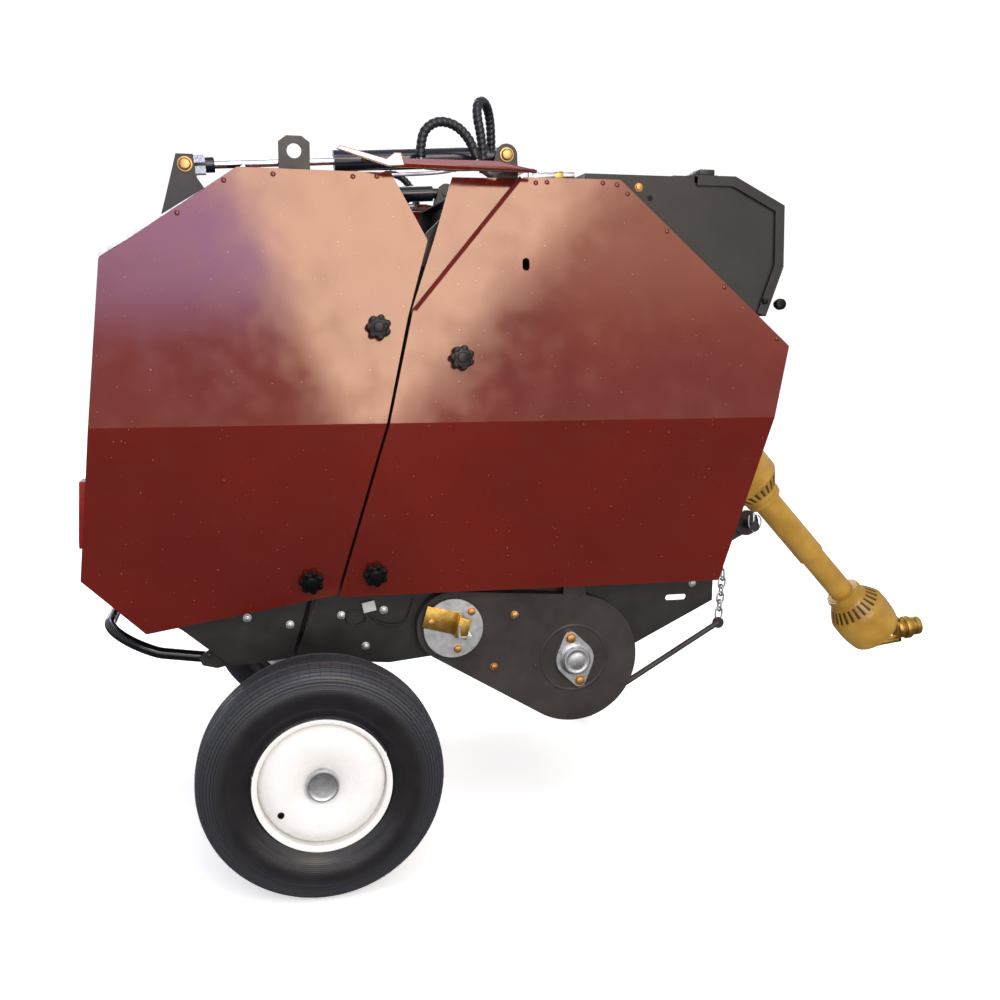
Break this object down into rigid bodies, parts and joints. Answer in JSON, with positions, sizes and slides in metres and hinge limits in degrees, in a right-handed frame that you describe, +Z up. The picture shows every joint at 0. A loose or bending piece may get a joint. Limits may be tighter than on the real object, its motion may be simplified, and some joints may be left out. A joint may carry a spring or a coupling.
{
  "type": "round baler",
  "caption": "Small mounted round baler with folded side covers, a tailgate on two rams, pick-up reel, net box, shielded drive shaft and two ground wheels.",
  "frame": {"origin": "on the ground under the middle of the machine, without its hoses", "axes": "+X forwards to the tractor, +Y to the machine's left, +Z up"},
  "size_m": [2.1999, 1.284, 1.6245],
  "materials": {
    "red_paint": "gloss powder coat, wine red",
    "black_paint": "satin powder coat, charcoal",
    "blue_black_paint": "gloss paint, blue-black",
    "cast_grey": "painted casting",
    "zinc": "bright zinc plate",
    "yellow_zinc": "yellow passivated zinc plate",
    "chrome": "hard chrome",
    "white_paint": "gloss white enamel",
    "roller_grey": "satin paint, worn",
    "tyre_rubber": "ribbed natural rubber",
    "hose_rubber": "spiral-wrapped hydraulic hose",
    "guard_plastic": "moulded polyethylene, mustard",
    "lamp_red": "moulded lens"
  },
  "bodies": {
    "chassis": {"side_plates": "black_paint", "cross_members": "black_paint", "body_sheets": "black_paint", "axle": "black_paint", "hitch_beam": "black_paint", "hitch_posts": "black_paint", "top_link_bracket": "black_paint", "gearbox": "cast_grey", "net_box": "black_paint", "hinge_guards": "red_paint", "front_ram_lugs": "black_paint", "hinge_pins": "zinc", "pivot_discs": "zinc", "pto_yoke_rear": "yellow_zinc", "lift_chains": "zinc", "front_bearings": "zinc", "frame_hose": "hose_rubber"},
    "tailgate": {"tailgate_frame": "black_paint", "tailgate_sheet": "red_paint", "rear_ram_brackets": "black_paint", "lifting_lugs": "black_paint", "tail_lamps": "lamp_red", "ramp_hoop": "black_paint", "rear_bearings": "zinc"},
    "lid": {"net_box_lid": "black_paint"},
    "pickup": {"pickup_cases": "black_paint", "pickup_bearings": "zinc", "pickup_bands": "black_paint"},
    "reel": {"pickup_reel": "zinc"},
    "shaft_rear": {"pto_guard_rear": "guard_plastic"},
    "shaft_front": {"pto_guard_front": "guard_plastic"},
    "end_yoke": {"pto_yoke_front": "yellow_zinc"},
    "leg": {"parking_leg": "black_paint"},
    "wheel_right": {"tyre_right": "tyre_rubber", "rim_right": "white_paint", "hub_right": "zinc"},
    "rear_cover_right": {"rear_cover_right": "red_paint"},
    "front_cover_right": {"front_cover_right": "red_paint"},
    "ram_right": {"ram_barrel_right": "blue_black_paint", "ram_hose_right": "hose_rubber"},
    "rod_right": {"ram_rod_right": "chrome"},
    "wheel_left": {"tyre_left": "tyre_rubber", "rim_left": "white_paint", "hub_left": "zinc"},
    "rear_cover_left": {"rear_cover_left": "red_paint"},
    "front_cover_left": {"front_cover_left": "red_paint"},
    "ram_left": {"ram_barrel_left": "blue_black_paint", "ram_hose_left": "hose_rubber"},
    "rod_left": {"ram_rod_left": "chrome"},
    "roller_1": {"roller_1": "roller_grey"},
    "roller_2": {"roller_2": "roller_grey"},
    "roller_3": {"roller_3": "roller_grey"},
    "roller_4": {"roller_4": "roller_grey"},
    "roller_5": {"roller_5": "roller_grey"},
    "roller_6": {"roller_6": "roller_grey"},
    "roller_7": {"roller_7": "roller_grey"},
    "roller_8": {"roller_8": "roller_grey"},
    "roller_9": {"roller_9": "roller_grey"},
    "roller_10": {"roller_10": "roller_grey"}
  },
  "joints": [
    {"name": "tailgate_hinge", "type": "hinge", "parent": "chassis", "child": "tailgate", "pos_m": [-0.383, 0, 1.3], "axis": [0, 1, 0], "range_deg": [0, 52]},
    {"name": "wheel_right_spin", "type": "hinge", "parent": "chassis", "child": "wheel_right", "pos_m": [-0.633, -0.575, 0.25], "axis": [0, 1, 0], "continuous": true},
    {"name": "ram_right_pivot", "type": "hinge", "parent": "chassis", "child": "ram_right", "pos_m": [-0.212, -0.372, 1.508], "axis": [0, 1, 0], "range_deg": [0, 41.6]},
    {"name": "ram_right_stroke", "type": "slide", "parent": "ram_right", "child": "rod_right", "axis": [0.9981, 0, 0.0614], "range_m": [0, 0.217]},
    {"name": "wheel_left_spin", "type": "hinge", "parent": "chassis", "child": "wheel_left", "pos_m": [-0.633, 0.575, 0.25], "axis": [0, 1, 0], "continuous": true},
    {"name": "ram_left_pivot", "type": "hinge", "parent": "chassis", "child": "ram_left", "pos_m": [-0.212, 0.372, 1.508], "axis": [0, 1, 0], "range_deg": [0, 41.6]},
    {"name": "ram_left_stroke", "type": "slide", "parent": "ram_left", "child": "rod_left", "axis": [0.9981, 0, 0.0614], "range_m": [0, 0.217]},
    {"name": "rear_cover_right_hinge", "type": "hinge", "parent": "tailgate", "child": "rear_cover_right", "pos_m": [-1.059, -0.432, 0.965], "axis": [-0.0909, 0, -0.9959], "range_deg": [0, 100]},
    {"name": "front_cover_right_hinge", "type": "hinge", "parent": "chassis", "child": "front_cover_right", "pos_m": [0.345, -0.432, 0.848], "axis": [0.2305, 0, 0.9731], "range_deg": [0, 100]},
    {"name": "rear_cover_left_hinge", "type": "hinge", "parent": "tailgate", "child": "rear_cover_left", "pos_m": [-1.059, 0.432, 0.965], "axis": [0.0909, 0, 0.9959], "range_deg": [0, 100]},
    {"name": "front_cover_left_hinge", "type": "hinge", "parent": "chassis", "child": "front_cover_left", "pos_m": [0.345, 0.432, 0.848], "axis": [-0.2305, 0, -0.9731], "range_deg": [0, 100]},
    {"name": "lid_hinge", "type": "hinge", "parent": "chassis", "child": "lid", "pos_m": [0.215, 0, 1.481], "axis": [0, -1, 0], "range_deg": [0, 100]},
    {"name": "pickup_lift", "type": "hinge", "parent": "chassis", "child": "pickup", "pos_m": [-0.329, 0, 0.495], "axis": [0, -1, 0], "range_deg": [0, 5], "deforming": ["lift_chains"]},
    {"name": "reel_spin", "type": "hinge", "parent": "pickup", "child": "reel", "pos_m": [-0.048, 0, 0.406], "axis": [0, 1, 0], "continuous": true},
    {"name": "shaft_pitch", "type": "hinge", "parent": "chassis", "child": "shaft_rear", "pos_m": [0.487, 0, 0.812], "axis": [0, -1, 0], "range_deg": [-6, 48]},
    {"name": "shaft_telescope", "type": "slide", "parent": "shaft_rear", "child": "shaft_front", "axis": [0.6764, 0, -0.7365], "range_m": [-0.05, 0.15]},
    {"name": "end_yoke_pitch", "type": "hinge", "parent": "shaft_front", "child": "end_yoke", "pos_m": [0.9656, 0, 0.2909], "axis": [0, 1, 0], "range_deg": [-10, 39]},
    {"name": "leg_slide", "type": "slide", "parent": "chassis", "child": "leg", "axis": [0, 0, 1], "range_m": [0, 0.25]},
    {"name": "roller_1_spin", "type": "hinge", "parent": "chassis", "child": "roller_1", "pos_m": [-0.26388, 0, 1.23142], "axis": [0, 1, 0], "continuous": true},
    {"name": "roller_2_spin", "type": "hinge", "parent": "chassis", "child": "roller_2", "pos_m": [-0.14058, 0, 1.04861], "axis": [0, 1, 0], "continuous": true},
    {"name": "roller_3_spin", "type": "hinge", "parent": "chassis", "child": "roller_3", "pos_m": [-0.13288, 0, 0.82823], "axis": [0, 1, 0], "continuous": true},
    {"name": "roller_4_spin", "type": "hinge", "parent": "chassis", "child": "roller_4", "pos_m": [-0.24314, 0, 0.63726], "axis": [0, 1, 0], "continuous": true},
    {"name": "roller_5_spin", "type": "hinge", "parent": "chassis", "child": "roller_5", "pos_m": [-0.55586, 0, 0.52652], "axis": [0, 1, 0], "continuous": true},
    {"name": "roller_6_spin", "type": "hinge", "parent": "tailgate", "child": "roller_6", "pos_m": [-0.56281, 0, 1.32281], "axis": [0, 1, 0], "continuous": true},
    {"name": "roller_7_spin", "type": "hinge", "parent": "tailgate", "child": "roller_7", "pos_m": [-0.76726, 0, 1.2402], "axis": [0, 1, 0], "continuous": true},
    {"name": "roller_8_spin", "type": "hinge", "parent": "tailgate", "child": "roller_8", "pos_m": [-0.89688, 0, 1.06181], "axis": [0, 1, 0], "continuous": true},
    {"name": "roller_9_spin", "type": "hinge", "parent": "tailgate", "child": "roller_9", "pos_m": [-0.91226, 0, 0.84184], "axis": [0, 1, 0], "continuous": true},
    {"name": "roller_10_spin", "type": "hinge", "parent": "tailgate", "child": "roller_10", "pos_m": [-0.79886, 0, 0.63726], "axis": [0, 1, 0], "continuous": true}
  ],
  "couplings": [
    {"joint": "roller_2_spin", "follows": "roller_1_spin", "ratio": 1},
    {"joint": "roller_3_spin", "follows": "roller_1_spin", "ratio": 1},
    {"joint": "roller_4_spin", "follows": "roller_1_spin", "ratio": 1},
    {"joint": "roller_5_spin", "follows": "roller_1_spin", "ratio": 1},
    {"joint": "roller_6_spin", "follows": "roller_1_spin", "ratio": 1},
    {"joint": "roller_7_spin", "follows": "roller_1_spin", "ratio": 1},
    {"joint": "roller_8_spin", "follows": "roller_1_spin", "ratio": 1},
    {"joint": "roller_9_spin", "follows": "roller_1_spin", "ratio": 1},
    {"joint": "roller_10_spin", "follows": "roller_1_spin", "ratio": 1},
    {"joint": "ram_right_pivot", "follows": "tailgate_hinge", "ratio": 0.795},
    {"joint": "ram_right_stroke", "follows": "tailgate_hinge", "m_per_rad": 0.238},
    {"joint": "ram_left_pivot", "follows": "tailgate_hinge", "ratio": 0.795},
    {"joint": "ram_left_stroke", "follows": "tailgate_hinge", "m_per_rad": 0.238}
  ]
}
